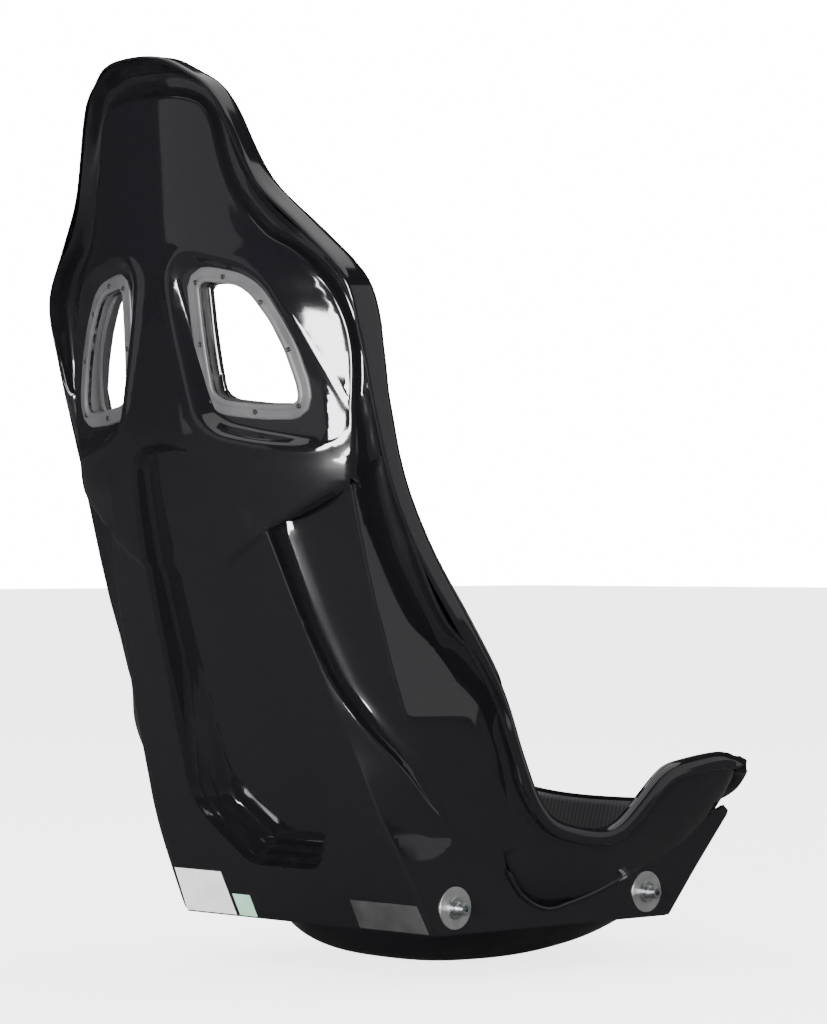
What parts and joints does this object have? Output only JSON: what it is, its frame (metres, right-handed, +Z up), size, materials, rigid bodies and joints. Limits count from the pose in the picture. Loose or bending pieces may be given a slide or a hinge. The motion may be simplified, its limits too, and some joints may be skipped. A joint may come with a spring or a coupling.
{
  "type": "racing seat",
  "caption": "Fixed-back racing seat: a carbon bucket with thigh and shoulder bolsters in a gloss black rear shell, with harness windows and bolt-in side mounts.",
  "frame": {"origin": "level with the lowest point of the bucket, at the middle of the overall width and length", "axes": "+Z up, -Y the way the sitter faces, X across the seat"},
  "size_m": [0.5, 0.712, 0.961],
  "materials": {
    "black_screw": "blackened",
    "carbon_laminate": "clear-coated woven carbon, satin",
    "gloss_gelcoat": "polished black gelcoat",
    "insert_steel": "plain",
    "label_dark": "matt film",
    "label_green": "matt film",
    "label_white": "matt film",
    "satin_trim": "satin dark grey",
    "stainless_washer": "brushed",
    "turned_collar": "turned",
    "zinc_plate": "bright zinc plate"
  },
  "bodies": {
    "root": {"bezel_screws_left": "black_screw", "bezel_screws_right": "black_screw", "cap_screw_front_left": "zinc_plate", "cap_screw_front_right": "zinc_plate", "cap_screw_rear_left": "zinc_plate", "cap_screw_rear_right": "zinc_plate", "flat_washer_front_left": "zinc_plate", "flat_washer_front_right": "zinc_plate", "flat_washer_rear_left": "zinc_plate", "flat_washer_rear_right": "zinc_plate", "front_bezel_left": "satin_trim", "front_bezel_right": "satin_trim", "inner_shell": "carbon_laminate", "label_dark": "label_dark", "label_green": "label_green", "label_white": "label_white", "mount_insert_front_left": "insert_steel", "mount_insert_front_right": "insert_steel", "mount_insert_rear_left": "insert_steel", "mount_insert_rear_right": "insert_steel", "outer_shell": "gloss_gelcoat", "penny_washer_front_left": "stainless_washer", "penny_washer_front_right": "stainless_washer", "penny_washer_rear_left": "stainless_washer", "penny_washer_rear_right": "stainless_washer", "rear_bezel_left": "satin_trim", "rear_bezel_right": "satin_trim", "spacer_collar_front_left": "turned_collar", "spacer_collar_front_right": "turned_collar", "spacer_collar_rear_left": "turned_collar", "spacer_collar_rear_right": "turned_collar"}
  },
  "joints": []
}
